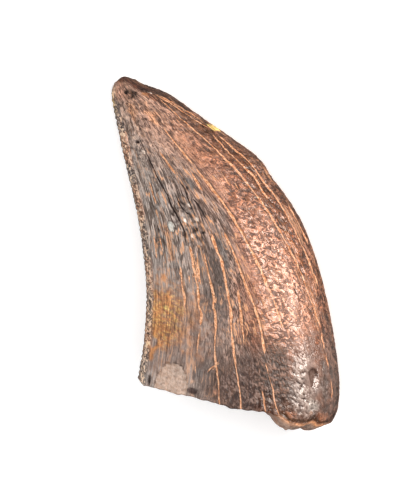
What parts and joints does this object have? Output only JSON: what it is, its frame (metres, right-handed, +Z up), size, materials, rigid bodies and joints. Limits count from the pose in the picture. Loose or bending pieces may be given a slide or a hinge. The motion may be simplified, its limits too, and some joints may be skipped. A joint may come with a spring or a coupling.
{
  "type": "fossil tyrannosaur tooth",
  "caption": "Curved, flattened fossil tooth crown with a saw edge on its rear keel and a broken base, lying on its side as a display specimen.",
  "frame": {"origin": "under the middle of the footprint, on the surface that the tooth lies on", "axes": "+Y towards the tip, +X towards the rounded front keel, +Z up from the surface"},
  "size_m": [0.0192, 0.03, 0.01],
  "materials": {
    "fossil_enamel": "satin, cracked and rust-stained fossil enamel"
  },
  "bodies": {
    "root": {"tooth": "fossil_enamel"}
  },
  "joints": []
}
